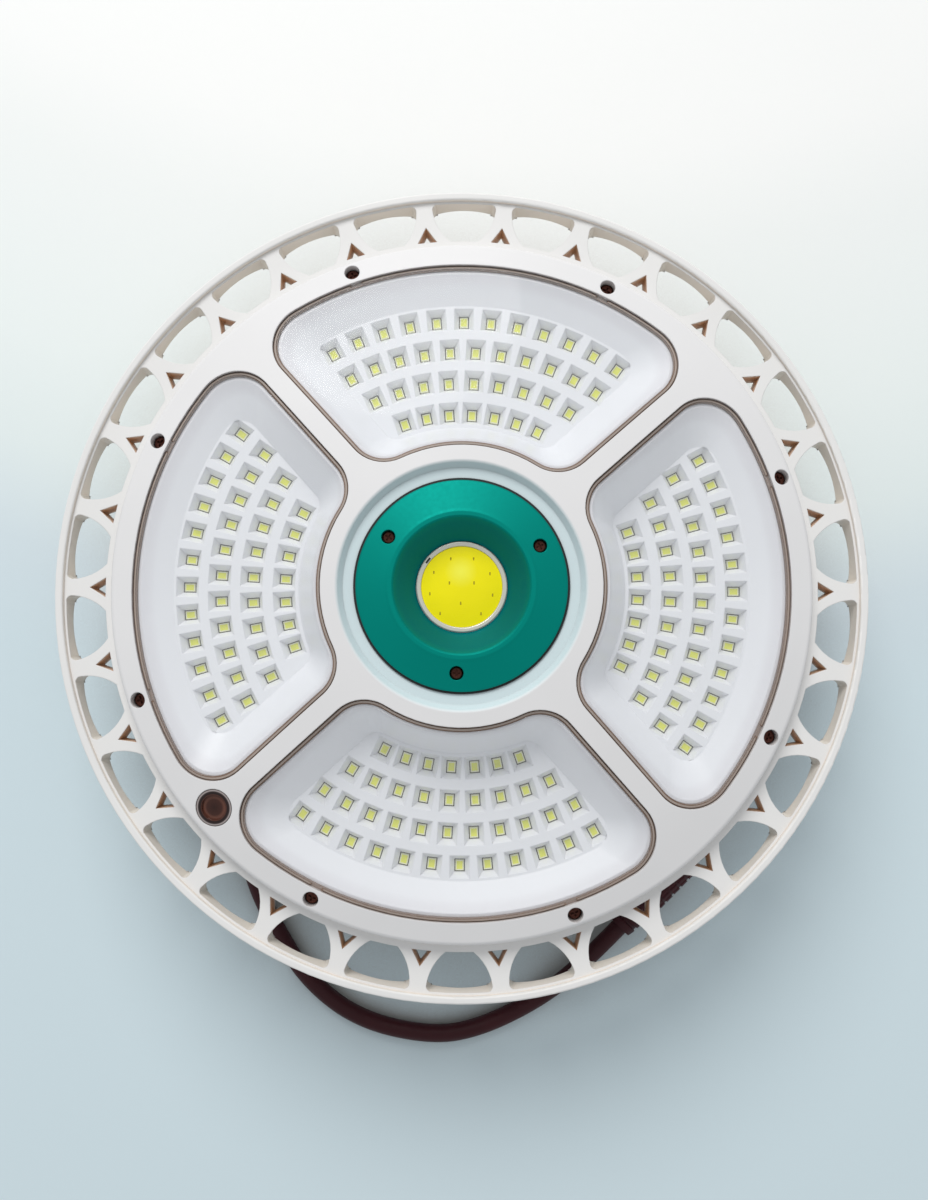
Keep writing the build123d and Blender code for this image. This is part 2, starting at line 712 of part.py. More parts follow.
# Sensor lens and board
sensor_place = at_polar(sensor_circle_r, sensor_angle)
sensor_column = sensor_place * disc(sensor_r, sensor_seat_z, crown_height)
sensor_lens = sensor_column & under_dome(0.1, plate_z, cover_r - 0.1)
sensor_floor = dome_slab(-3.0, 0.9, sensor_circle_r - 2 * sensor_r, cover_r - 0.1)
sensor_lens -= sensor_place * disc(sensor_inner_r, sensor_seat_z, crown_height) & sensor_floor
save("sensor_lens", sensor_lens)
sensor_pcb = block(sensor_circle_r - 10.4, sensor_circle_r + 5.5, -sensor_board_width / 2,
                   sensor_board_width / 2, sensor_boss_z - board_thickness, sensor_boss_z)
sensor_can = disc(sensor_can_r, sensor_boss_z, sensor_seat_z - 0.2, sensor_circle_r, 0)
save("sensor_board", Rot(0, 0, sensor_angle) * (sensor_pcb + sensor_can))

# Rear housing
cone_slope = (cone_top_z - drum_top_z) / (housing_r - drum_r)
inner_r = drum_r - wall
rim_inner_r = housing_r - wall
cone_shift = wall * (math.hypot(1, cone_slope) - cone_slope)
cone_foot_z = drum_top_z + cone_shift
cone_head_z = cone_top_z + cone_shift
shell = turned((0, 0), (drum_r, 0), (drum_r, drum_top_z), (housing_r, cone_top_z),
               (housing_r, flange_z), (0, flange_z))
for corner_r, corner_z, bend in ((drum_r, 0, 3.0), (drum_r, drum_top_z, 8.0), (housing_r, cone_top_z, 4.0)):
    shell = fillet(circle_at(shell, corner_r, corner_z), bend)
cavity = turned((0, wall), (inner_r, wall), (inner_r, cone_foot_z), (rim_inner_r, cone_head_z),
                (rim_inner_r, flange_z + 1), (0, flange_z + 1))
cavity = fillet(circle_at(cavity, inner_r, cone_foot_z), 6.0)
post = disc(joint_post_r, flange_z - joint_post_length, flange_z + 2)
cavity = cavity.cut(*[at_polar(joint_screw_r, angle) * post for angle in joint_angles])
pad = block(drum_r - pad_root, pad_r, -pad_width / 2, pad_width / 2, 1.0, drum_top_z + 1)
pad = fillet(pad.edges().filter_by(Axis.X), 3.0)
housing = shell + Rot(0, 0, gland_angle) * pad + Rot(0, 0, button_angle) * pad
housing -= cavity
pad_pocket = block(inner_r - pad_root, pad_inner_r, -pad_pocket_half, pad_pocket_half,
                   side_z - pad_pocket_rise, side_z + pad_pocket_rise)
for angle in (gland_angle, button_angle):
    housing -= Rot(0, 0, angle) * pad_pocket


def bail_pocket(grow, depth):
    """Recess for the folded bail, with a notch for the finger."""
    half = pocket_half + grow
    outline = make_face([
        Polyline((half, bail_arc_y), (half, pocket_top_y + grow), (-half, pocket_top_y + grow),
                 (-half, bail_arc_y)),
        ThreePointArc((-half, bail_arc_y), (0, bail_arc_y - half), (half, bail_arc_y)),
    ])
    outline += Pos(0, notch_y) * Circle(notch_r + grow)
    return extrude(outline, depth, dir=(0, 0, 1))


housing += bail_pocket(pocket_wall, pocket_top_z)
for side in (-1, 1):
    ear_in = side * pocket_half
    ear_out = side * (bail_pin_end + ear_end)
    housing += block(min(ear_in, ear_out), max(ear_in, ear_out), -ear_width / 2, ear_width / 2,
                     0, pocket_top_z)
    housing += disc(3.5, wall, pocket_top_z, side * cradle_boss_x, 0)
    housing -= disc(1.25, wall + 1, pocket_top_z + 1, side * cradle_boss_x, 0)
housing -= Pos(0, 0, -1) * bail_pocket(0, pocket_depth + 1)
bore_length = bail_pin_end + 1.0
housing -= Pos(0, 0, bail_pivot_z) * Rot(0, 90, 0) * Cylinder(wire_r + bore_gap, 2 * bore_length)
switch_board_in = pad_r + switch_board_at - switch_board_thickness
switch_board_out = pad_r + switch_board_at
for side in (-1, 1):
    guide_y = side * (switch_board_half[0] + 0.5)
    guide = block(switch_board_in - 1.8, switch_board_out + 1.8, guide_y - 2.0, guide_y + 2.0,
                  wall, side_z + 2.0)
    guide -= block(switch_board_in - 0.05, switch_board_out + 0.05, -switch_board_half[0] - 0.1,
                   switch_board_half[0] + 0.1, wall + 0.5, side_z + 3.0)
    housing += Rot(0, 0, button_angle) * guide
gland_frame = at_polar(pad_r, gland_angle) * Pos(0, 0, side_z) * Rot(0, 90, 0)
button_frame = at_polar(pad_r, button_angle) * Pos(0, 0, side_z) * Rot(0, 90, 0)
housing -= gland_frame * Cylinder(gland_thread_r + gland_thread_gap, 12)
housing -= button_frame * Cylinder(button_r + button_gap, 12)
joint_screw_end_z = joint_seat_z - joint_screw_length
for angle in joint_angles:
    housing -= at_polar(joint_screw_r, angle) * disc(pilot_r, joint_screw_end_z - pilot_end_gap, flange_z + 1)
housing -= ring(housing_seal_r, housing_seal_r - seal_width, flange_z - seal_height, flange_z)
save("rear_housing", housing)

# Seals on both sides of the ring flange, and the long screws
save("cover_seal", ring(cover_seal_r - seal_side_gap, cover_seal_r - seal_width + seal_side_gap,
                        plate_z, plate_z + seal_height))
save("housing_seal", ring(housing_seal_r - seal_side_gap, housing_seal_r - seal_width + seal_side_gap,
                          flange_z - seal_height, flange_z))
joint_screw = Pos(0, 0, joint_seat_z) * pan_screw(2.15, 1.7, shank_r, joint_screw_length)
save("housing_screws", *[at_polar(joint_screw_r, a) * joint_screw for a in joint_angles])

# Wire bail
bail_path = (
    Line((-bail_pin_end, 0), (-bail_half - bail_bend, 0))
    + RadiusArc((-bail_half - bail_bend, 0), (-bail_half, -bail_bend), bail_bend)
    + Line((-bail_half, -bail_bend), (-bail_half, bail_arc_y))
    + ThreePointArc((-bail_half, bail_arc_y), (0, bail_arc_y - bail_half), (bail_half, bail_arc_y))
    + Line((bail_half, bail_arc_y), (bail_half, -bail_bend))
    + RadiusArc((bail_half, -bail_bend), (bail_half + bail_bend, 0), bail_bend)
    + Line((bail_half + bail_bend, 0), (bail_pin_end, 0))
)
bail_start = Plane(origin=(-bail_pin_end, 0, 0), z_dir=(1, 0, 0))
save("hanging_bail", Pos(0, 0, bail_pivot_z) * sweep(bail_start * Circle(wire_r), path=bail_path))

# Battery pack
cells = []
for k in range(4):
    x = (k - 1.5) * cell_pitch
    can = Rot(90, 0, 0) * Cylinder(cell_r, cell_length - 2.0)
    can = fillet(can.edges(), 0.6)
    cap_end = Pos(0, cell_length / 2 - 1.0, 0) * Rot(90, 0, 0) * Cylinder(3.0, 2.0)
    cells.append(Pos(x, 0, cell_axis_z) * (can + cap_end))
save("battery_cells", *cells)
cradle = block(-cradle_half_x, cradle_half_x, -cradle_half_y, cradle_half_y, pocket_top_z, deck_z)
cradle_rib_z = cell_axis_z + cell_r / 4
for side in (-1, 1):
    wall_y = side * cradle_wall_y
    cradle += block(-cradle_half_x, cradle_half_x, wall_y - cradle_rib / 2, wall_y + cradle_rib / 2,
                    deck_z, cradle_rib_z)
    for x in (-pillar_x, pillar_x):
        cradle += disc(pillar_r, deck_z, control_z, x, side * pillar_y)
    tab = sorted((side * cradle_half_x, side * (cradle_boss_x + 4.0)))
    cradle += block(tab[0], tab[1], -5.0, 5.0, pocket_top_z, deck_z)
    post = sorted((side * post_inner_x, side * strap_half))
    cradle += block(post[0], post[1], -4.0, 4.0, deck_z, strap_z)
    cradle += disc(pillar_r, wall, pocket_top_z, side * pillar_x, 30.0)
for side in (-1, 1):
    cradle -= disc(1.45, pocket_top_z - 1, deck_z + 1, side * cradle_boss_x, 0)
    cradle -= disc(1.0, strap_z - 6.9, strap_z + 1, side * strap_screw_x, 0)
    for x in (-pillar_x, pillar_x):
        cradle -= disc(1.0, control_z - 7, control_z + 1, x, side * pillar_y)
save("battery_cradle", cradle)
strap = block(-strap_half, strap_half, -4.0, 4.0, strap_z, strap_z + strap_thickness)
for side in (-1, 1):
    strap -= disc(1.2, strap_z - 1, strap_z + 2, side * strap_screw_x, 0)
save("battery_strap", strap)
small_screw = pan_screw(1.9, 1.0, 0.95, 5.5)
save("strap_screws", *[Pos(s * strap_screw_x, 0, strap_z + strap_thickness) * small_screw for s in (-1, 1)])
cradle_screw = pan_screw(2.3, 1.5, 1.2, 6.0)
save("cradle_screws", *[Pos(s * cradle_boss_x, 0, deck_z) * cradle_screw for s in (-1, 1)])

# Control board
half_x = control_size[0] / 2
half_y = control_size[1] / 2
control = block(-half_x, half_x, -half_y, half_y, control_z, board_top_z)
for x in (-pillar_x, pillar_x):
    for y in (-pillar_y, pillar_y):
        control -= disc(1.2, control_z - 1, board_top_z + 1, x, y)
save("control_board", control)
board_screws = [Pos(x, y, board_top_z) * small_screw
                for x in (-pillar_x, pillar_x) for y in (-pillar_y, pillar_y)]
save("board_screws", *board_screws)
tallest_z = carrier_foot_z - head_room
components = [
    disc(5.0, board_top_z, tallest_z, -22.0, 12.0),
    disc(4.0, board_top_z, tallest_z - 2.0, -22.0, -2.0),
    block(-8.0, 4.0, -12.0, 0.0, board_top_z, board_top_z + 6.5),
    block(10.0, 20.0, 4.0, 14.0, board_top_z, board_top_z + 1.6),
    block(12.0, 19.0, -12.0, -7.0, board_top_z, board_top_z + 1.4),
    block(-8.0, -2.0, 8.0, 16.0, board_top_z, board_top_z + 4.4),
    block(-16.0, 16.0, 27.0, 33.0, board_top_z, board_top_z + 6.0),
    block(-24.0, -8.0, -32.0, -26.0, board_top_z, board_top_z + terminal_height),
    block(8.0, 20.0, -32.0, -26.0, board_top_z, board_top_z + terminal_height),
    block(-32.8, -28.2, -8.0, 8.0, board_top_z, board_top_z + 6.0),
]
save("board_components", *components)

# Wires from the control board up to the LED boards, the round lamp and the sensor
wires = []
led_wire_z = tray_foot_z + 1.0
riser_x = carrier_hole_r - 1.8
board_pad_x = tray_inner_r - board_inner_reach + 1.0
for angle in (0, 90, 180, 270):
    for y in (-2.0, 2.0):
        run = tube(((riser_x, y, board_top_z), (riser_x, y, led_wire_z), (board_pad_x, y, led_wire_z),
                    (board_pad_x, y, tray_foot_z)), 0.5, 0.8)
        wires.append(Rot(0, 0, angle) * run)
for x in (-2.5, 2.5):
    wires.append(disc(0.7, board_top_z, cob_board_z, x, 3.0))
sensor_pad_x = sensor_circle_r - 6.4
sensor_run = tube(((riser_x, 4.6, board_top_z + terminal_height), (riser_x, 4.6, led_wire_z),
                   (sensor_pad_x, 4.0, led_wire_z), (sensor_pad_x, 4.0, sensor_boss_z - board_thickness)),
                  0.5, 0.8)
wires.append(Rot(0, 0, sensor_angle) * sensor_run)
cos_g = math.cos(math.radians(gland_angle))
sin_g = math.sin(math.radians(gland_angle))
for side, end_y in ((1.2, -27.5), (-1.2, -30.5)):
    shift = Vector(-sin_g, cos_g) * side
    start = Vector(cos_g, sin_g) * (pad_r + jacket_end) + shift
    rise = Vector(cos_g, sin_g) * (pad_r + jacket_end - 5.0) + shift
    wire_z = board_top_z + 3.4
    wires.append(tube(((start.X, start.Y, side_z), (rise.X, rise.Y, side_z),
                       (rise.X, rise.Y, wire_z), (-33.0, end_y, wire_z), (-24.0, end_y, wire_z)), 0.8, 3.0))
save("inner_wires", *wires)

# Gland in the drum wall
collar_foot = gland_seal_height
collar_head = gland_seal_height + gland_flange
gland_bore = disc(cord_r + cord_gap, gland_thread_end - 1, gland_exit + 1)
gland_body = disc(gland_thread_r, gland_thread_end, collar_foot)
gland_body += hexagon(gland_hex, collar_foot, collar_head)
gland_body += disc(gland_stem_r, collar_head, gland_stem_end)
save("gland_body", gland_frame * (gland_body - gland_bore))
save("gland_seal", gland_frame * ring(gland_seal_r, gland_thread_r + gland_thread_gap, 0, collar_foot))
locknut = hexagon(gland_hex, -pad_wall - locknut_height, -pad_wall)
locknut -= disc(gland_thread_r, gland_thread_end, 0)
save("gland_locknut", gland_frame * locknut)
dome_nut = turned((cord_r + cord_gap, gland_stem_end + 0.5), (gland_stem_r + 0.1, gland_stem_end + 0.5),
                  (gland_stem_r + 0.1, collar_head), (gland_nut_r, collar_head),
                  (gland_nut_r, gland_exit - 3.2), (gland_nut_r - 0.9, gland_exit - 1.2),
                  (gland_nut_r - 2.5, gland_exit), (cord_r + cord_gap, gland_exit))
grip = [Rot(0, 0, 30 * k) * disc(0.8, collar_head + 1, gland_exit, gland_nut_r + 0.35, 0) for k in range(12)]
save("gland_nut", gland_frame * dome_nut.cut(*grip))

# Lead: the end held in the gland, and the tail outside
save("inner_lead", gland_frame * disc(cord_r, jacket_end, gland_exit))
vectors = [Vector(*p) for p in cord_points]
bends = []
for a, b, c in zip(vectors, vectors[1:], vectors[2:]):
    turn_angle = (b - a).get_angle(c - b)
    shorter = min((b - a).length, (c - b).length)
    bends.append(0.45 * shorter / math.tan(math.radians(turn_angle / 2)))
cord_path = FilletPolyline(*cord_points, radius=bends)
cord_start = Plane(origin=cord_points[0], z_dir=vectors[1] - vectors[0])
cord = sweep(cord_start * Circle(cord_r), path=cord_path)
save("lead_cord", cord)
print("cord bend radii", [round(b, 1) for b in bends])
print("cord length", round(cord_path.length, 1), "volume", round(cord.volume, 1),
      "section x length", round(math.pi * cord_r ** 2 * cord_path.length, 1))

# Plug, turned about its own axis and laid along its heading
plug_frame = Pos(*plug_at) * Rot(0, 0, plug_heading) * Rot(0, 90, 0)
boot = turned((0, 0), (4.3, 0), (4.7, 2.0), (4.7, 2.6), (4.2, 2.8), (4.2, 3.8), (4.8, 4.0), (4.8, 5.4),
              (4.3, 5.6), (4.3, 6.6), (4.9, 6.8), (4.9, 8.2), (4.4, 8.4), (4.4, 9.4), (boot_r, 9.6),
              (boot_r, plug_boot_length), (0, plug_boot_length))
save("plug_boot", plug_frame * boot)
body = turned((0, plug_boot_length), (neck_r, plug_boot_length), (neck_r, neck_end), (collar_r, neck_end),
              (collar_r, collar_end), (nose_r, collar_end), (nose_r, nose_end), (0, nose_end))
save("plug_body", plug_frame * (body - disc(barrel_root_r + 0.05, collar_end, nose_end + 1)))
barrel = disc(barrel_root_r, collar_end, nose_end) + disc(barrel_r, nose_end, barrel_end)
barrel -= disc(barrel_bore_r, nose_end, barrel_end + 1)
barrel = fillet(barrel.edges().group_by(Axis.Z)[-1], 0.3)
save("plug_barrel", plug_frame * barrel)
save("plug_seal", plug_frame * ring(collar_r, nose_r, collar_end, collar_end + 1.6))
nut = turned((neck_r + neck_gap, nut_start), (5.3, nut_start), (nut_r, nut_start + 0.5),
             (nut_r, nut_end - 0.5), (5.4, nut_end), (nut_bore_r, nut_end),
             (nut_bore_r, nut_shoulder_end), (neck_r + neck_gap, nut_shoulder_end))
nut_cuts = [ring(nut_r + 1, nut_r - 0.45, nut_start + 2.6 + 3.7 * k, nut_start + 3.5 + 3.7 * k)
            for k in range(4)]
nut_cuts += [Rot(0, 0, 22.5 * k) * disc(0.7, nut_start - 1, nut_end + 1, nut_r + 0.35, 0) for k in range(16)]
save("coupling_nut", plug_frame * nut.cut(*nut_cuts))

# Power button, its bezel and its switch
flange_head = -pad_wall
button = disc(button_r, flange_head - 0.1, button_proud)
button = fillet(button.edges().group_by(Axis.Z)[-1], 0.8)
button += disc(button_flange_r, flange_head - button_flange, flange_head)
button += disc(2.0, button_stem_end, flange_head - 1.0)
save("power_button", button_frame * button)
bezel = ring(7.0, button_r + 0.35, 0, 1.0)
save("button_bezel", button_frame * fillet(bezel.edges().group_by(Axis.Z)[-1], 0.4))
switch_head = switch_board_at + switch_depth
switch_body = Pos(0, 0, switch_board_at + switch_depth / 2) * Box(switch_size, switch_size, switch_depth)
switch_nose = disc(switch_nose_r, switch_head, button_stem_end - button_travel - switch_gap)
save("button_switch", button_frame * (switch_body + switch_nose))
save("switch_board", Rot(0, 0, button_angle)
     * block(switch_board_in, switch_board_out, -switch_board_half[0], switch_board_half[0],
             side_z - switch_board_half[1], side_z + switch_board_half[1]))
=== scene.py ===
import math

import bmesh
import bpy
from mathutils import Matrix, Vector


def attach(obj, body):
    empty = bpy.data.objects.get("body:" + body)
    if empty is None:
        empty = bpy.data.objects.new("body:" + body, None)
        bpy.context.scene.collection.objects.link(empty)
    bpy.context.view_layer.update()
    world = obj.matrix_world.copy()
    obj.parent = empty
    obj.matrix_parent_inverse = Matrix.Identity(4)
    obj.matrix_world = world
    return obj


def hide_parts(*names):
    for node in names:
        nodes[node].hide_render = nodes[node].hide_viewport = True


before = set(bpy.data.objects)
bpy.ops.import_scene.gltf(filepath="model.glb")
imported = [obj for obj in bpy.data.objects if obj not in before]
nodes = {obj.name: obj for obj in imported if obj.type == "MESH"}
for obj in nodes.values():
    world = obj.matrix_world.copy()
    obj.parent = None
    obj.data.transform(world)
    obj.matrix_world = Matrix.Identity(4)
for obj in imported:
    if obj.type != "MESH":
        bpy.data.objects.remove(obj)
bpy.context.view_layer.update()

# Lengths are in mm up to the sections on the floor and the light, and MM makes them metres
MM = 0.001

# Camera, fitted to the ring, the body and the dish of the photograph
CAM_AT = (1.94, -21.32, 364.3)
CAM_ROLL = math.radians(3.35)
CAM_TILT = math.radians(3.3)
CAM_LENS = 30.0
CAM_FILM_WIDTH = 36.0
CAM_NEAREST = 10.0

# Lead, the same points as the route of the solid
CORD_R = 3.0
SIDE_Z = 11.0
PLUG_AT = (62.17, -112.36, 5.85)
CORD_POINTS = (
    (-56.74, -63.02, SIDE_Z),
    (-66.17, -73.50, SIDE_Z),
    (-71.5, -88.3, 6.5),
    (-68.6, -103.7, CORD_R),
    (-59.6, -120.2, CORD_R),
    (-47.0, -138.0, CORD_R),
    (-27.7, -150.9, CORD_R),
    (-1.95, -155.0, CORD_R),
    (14.9, -151.3, CORD_R),
    (35.0, -140.3, CORD_R),
    (49.5, -126.6, PLUG_AT[2]),
    PLUG_AT,
)

# LED packages: radius, count and step in degrees of each row behind a window
WINDOW_NAMES = ("top", "left", "bottom", "right")
LED_ROWS = ((55.5, 7, 7.45), (65.7, 9, 7.0), (75.7, 11, 6.2), (85.6, 12, 5.8))
CHIP_FOOT_Z = 49.2
CHIP_HEIGHT = 0.8
CHIP_SIZE = (2.6, 3.3)
CASE_HEIGHT = 0.74
CASE_CHAMFER = 0.15
RESIN_SIZE = (1.9, 2.5)
RESIN_FOOT = 0.3
RESIN_CHAMFER = 0.1

# Dies under the resin of the round lamp, placed along the picture's axes
PHOSPHOR_TOP_Z = 63.6
PHOSPHOR_DOME_R = 75.5
DIE_SIZE = (0.45, 1.0)
DIE_SUNK = 0.15
DIE_PROUD = 0.06
DIE_CHAMFER = 0.08
DIE_PLACES = ((-3.3, 8.4), (3.6, 8.4), (-8.4, 4.3), (8.5, 3.9), (-3.7, 1.1), (3.7, 1.1), (-9.6, -2.1),
              (9.3, -2.5), (-0.3, -5.0), (-6.5, -8.0), (5.8, -8.1))

# Dark block on the ring of the round lamp, a painted shade of a small notch
TAB_SIZE = (0.6, 2.0)
TAB_SUNK = 0.3
TAB_PROUD = 0.12
TAB_CHAMFER = 0.1
TAB_RADIUS = 12.9
TAB_ANGLE = math.radians(142.0)
RING_TOP_Z = 63.0

# Painted shade in corners: tint, reach, and the openness where it starts and is full
RING_SHADE = ((0.88, 0.58, 0.36), 5.0, 0.55, 0.22)
BODY_SHADE = ((0.80, 0.76, 0.74), 4.0, 0.90, 0.30)
TRAY_SHADE = ((0.92, 0.905, 0.91), 3.0, 0.90, 0.30)
SEAL_SHADE = ((0.52, 0.38, 0.30), 1.6, 0.75, 0.35)
# On the table this is a painted shadow under the lamp
TABLE_SHADE = ((0.58, 0.50, 0.46), 80.0, 0.78, 0.40)

# Painted warm shade on upright walls, and the upward share of a face's direction where it starts and is
# full
WALL_PAINTED_SHADE = (0.98, 0.925, 0.86)
WALL_START = 0.6
WALL_FULL = 0.1

# Tints by the distance from an upright axis: the axis and the stops
PLAIN = (1.0, 1.0, 1.0)
# Painted shade inside the cap's cup: its green is darker within 18.8 mm of the axis
CUP_PAINTED_SHADE = (1.0, 0.80, 1.0)
CUP_SHADE_RINGS = ((0, 0), ((0.0, CUP_PAINTED_SHADE), (18.8, CUP_PAINTED_SHADE), (20.4, PLAIN), (40.0, PLAIN)))
# Painted bluish reflection on the dish of the cover, which is the same white moulding
DISH_PAINTED_REFLECTION = (0.82, 0.97, 1.0)
DISH_REFLECTION_RINGS = ((0, 0), ((0.0, DISH_PAINTED_REFLECTION), (36.6, DISH_PAINTED_REFLECTION), (37.6, PLAIN), (130.0, PLAIN)))
SENSOR_RADIUS = 100.4
SENSOR_ANGLE = math.radians(225)
SENSOR_AT = (SENSOR_RADIUS * math.cos(SENSOR_ANGLE), SENSOR_RADIUS * math.sin(SENSOR_ANGLE))
# Sensor lens: its own dark and brown rings, with a painted pale highlight ring at 5.3 mm
SENSOR_RINGS_AND_HIGHLIGHT = (SENSOR_AT, ((0.0, (0.030, 0.010, 0.007)), (2.4, (0.055, 0.019, 0.013)),
                            (3.2, (0.15, 0.060, 0.040)), (3.9, (0.10, 0.036, 0.024)),
                            (4.3, (0.016, 0.008, 0.007)), (4.9, (0.030, 0.018, 0.017)),
                            (5.3, (0.45, 0.40, 0.39)), (5.6, (0.10, 0.07, 0.065))))
# Painted highlight on the phosphor: pale round (-0.5, 4.5), the phosphor's own deeper yellow further out
PHOSPHOR_PAINTED_HIGHLIGHT = ((-0.5, 4.5), ((0.0, PLAIN), (1.5, (1.0, 0.98, 0.8)), (5.0, (1.0, 0.92, 0.10)),
                            (20.0, (1.0, 0.92, 0.03))))
# Painted light on the table: paler far behind the lamp, darker around it and in front of it
TABLE_PAINTED_LIGHT = ((0, 600.0), ((0.0, (0.96, 0.97, 0.96)), (430.0, (0.96, 0.97, 0.96)),
                            (470.0, (0.90, 0.93, 0.92)), (535.0, (0.86, 0.92, 0.91)),
                            (575.0, (0.80, 0.88, 0.88)), (612.0, (0.68, 0.78, 0.83)),
                            (645.0, (0.66, 0.78, 0.83)), (3000.0, (0.66, 0.78, 0.83))))

# What all materials share
COAT_ROUGH = 0.12
SLOW_DETAIL = 3.0
FINE_DETAIL = 4.0
DRIFT_STOPS = (0.3, 0.7)
GRAIN_DEPTH = 0.5
SMOOTHEST = 0.02

# Sockets of the mix node in its colour mode
MIX_FACTOR, MIX_BASE, MIX_TINT, MIX_RESULT = 0, 6, 7, 2

# Floor and light, in metres
FLOOR_HALF = 3.0
FLOOR_DROP = 0.0002
KEY_AT = (-0.42, 1.55, 1.50)
KEY_AIM = (0, 0, 0.05)
KEY_SIZE = 1.3
KEY_POWER = 31.5
KEY_COLOR = (1.0, 0.985, 0.965)
SKY_COLOR = (0.96, 0.98, 1.0)
SKY_STRENGTH = 0.52
SEEN_SKY_COLOR = (0.84, 0.88, 0.88)
SEEN_SKY_STRENGTH = 1.0


def make_camera():
    """Camera at the photograph's place and angle."""
    right = Vector((math.cos(CAM_ROLL), math.sin(CAM_ROLL), 0))
    flat_up = Vector((-math.sin(CAM_ROLL), math.cos(CAM_ROLL), 0))
    up = flat_up * math.cos(CAM_TILT) + Vector((0, 0, math.sin(CAM_TILT)))
    back = right.cross(up)
    place = Matrix.Translation(Vector(CAM_AT) * MM)
    data = bpy.data.cameras.new("camera")
    data.lens = CAM_LENS
    data.sensor_width = CAM_FILM_WIDTH
    data.clip_start = CAM_NEAREST * MM
    camera = bpy.data.objects.new("camera", data)
    camera.matrix_world = place @ Matrix((right, up, back)).transposed().to_4x4()
    bpy.context.scene.collection.objects.link(camera)
    bpy.context.scene.camera = camera


def add_node(tree, kind, **values):
    """Shader node with its settings and inputs; an input's name has _ where Blender has a space."""
    node = tree.nodes.new(kind)
    for key, value in values.items():
        if hasattr(node, key):
            setattr(node, key, value)
        else:
            node.inputs[key.replace("_", " ")].default_value = value
    return node


def tinted(tree, factor, base, tint):
    """Base multiplied by a tint, as far as the factor says; each is a socket or a plain value."""
    mix = add_node(tree, "ShaderNodeMix", data_type="RGBA", blend_type="MULTIPLY")
    for index, value in ((MIX_FACTOR, factor), (MIX_BASE, base), (MIX_TINT, tint)):
        if hasattr(value, "is_output"):
            tree.links.new(value, mix.inputs[index])
        else:
            mix.inputs[index].default_value = value
    return mix.outputs[MIX_RESULT]


def add_ramp(tree, factor, stops):
    """Colour by the factor, from stops given as position and colour."""
    ramp = add_node(tree, "ShaderNodeValToRGB")
    elements = ramp.color_ramp.elements
    while len(elements) < len(stops):
        elements.new(0.5)
    for element, (at, color) in zip(elements, stops):
        element.position = at
        element.color = (*color, 1)
    tree.links.new(factor, ramp.inputs["Fac"])
    return ramp.outputs["Color"]


def ring_tint(tree, place, centre, stops):
    """Colour by the distance from an upright axis."""
    reach = stops[-1][0]
    shift = add_node(tree, "ShaderNodeVectorMath", operation="SUBTRACT")
    shift.inputs[1].default_value = (centre[0] * MM, centre[1] * MM, 0)
    tree.links.new(place, shift.inputs[0])
    flat = add_node(tree, "ShaderNodeVectorMath", operation="MULTIPLY")
    flat.inputs[1].default_value = (1 / (reach * MM), 1 / (reach * MM), 0)
    tree.links.new(shift.outputs[0], flat.inputs[0])
    far = add_node(tree, "ShaderNodeVectorMath", operation="LENGTH")
    tree.links.new(flat.outputs[0], far.inputs[0])
    return add_ramp(tree, far.outputs["Value"], [(r / reach, color) for r, color in stops])


def painted_shade_share(tree, reach, start, full):
    """Share of the painted shade in corners, by how open a point is."""
    corner = add_node(tree, "ShaderNodeAmbientOcclusion", samples=8, Distance=reach * MM)
    share = add_node(tree, "ShaderNodeMapRange", From_Min=start, From_Max=full)
    tree.links.new(corner.outputs["AO"], share.inputs["Value"])
    return share.outputs["Result"]


def painted_wall_shade_share(tree):
    """Share of the painted wall shade, by how upright a face is."""
    normal = add_node(tree, "ShaderNodeNewGeometry").outputs["True Normal"]
    facing = add_node(tree, "ShaderNodeSeparateXYZ")
    tree.links.new(normal, facing.inputs[0])
    level = add_node(tree, "ShaderNodeMath", operation="ABSOLUTE")
    tree.links.new(facing.outputs["Z"], level.inputs[0])
    share = add_node(tree, "ShaderNodeMapRange", From_Min=WALL_START, From_Max=WALL_FULL)
    tree.links.new(level.outputs[0], share.inputs["Value"])
    return share.outputs["Result"]


